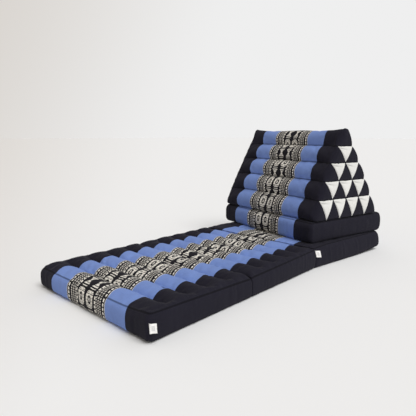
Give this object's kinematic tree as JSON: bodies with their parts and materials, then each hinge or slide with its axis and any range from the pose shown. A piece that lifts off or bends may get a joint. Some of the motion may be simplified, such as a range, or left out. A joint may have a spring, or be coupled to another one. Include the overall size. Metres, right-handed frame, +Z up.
{
  "type": "fold-out thai triangle cushion: wedge backrest with attached folding mats",
  "caption": "Triangular channelled backrest cushion sewn to a chain of box mats, part folded under it and part laid out as a seat.",
  "frame": {"origin": "on the floor, under the middle of the whole object's box", "axes": "+X along the open mats from the foot end to the wedge, +Y across the width, +Z up"},
  "size_m": [1.3106, 0.6194, 0.4876],
  "materials": {
    "navy_cotton": "matt plain cotton, near black navy",
    "blue_cotton": "matt plain cotton, mid blue",
    "patterned_cotton": "matt woven band, black and cream",
    "white_cotton": "matt plain cotton, off-white",
    "label_cloth": "soft satin tape, white, blank"
  },
  "bodies": {
    "root": {"wedge": "navy_cotton", "mat_upper": "navy_cotton", "mat_lower": "navy_cotton", "mat_middle": "navy_cotton", "mat_foot": "navy_cotton", "label_foot": "label_cloth", "label_lower": "label_cloth"}
  },
  "joints": []
}
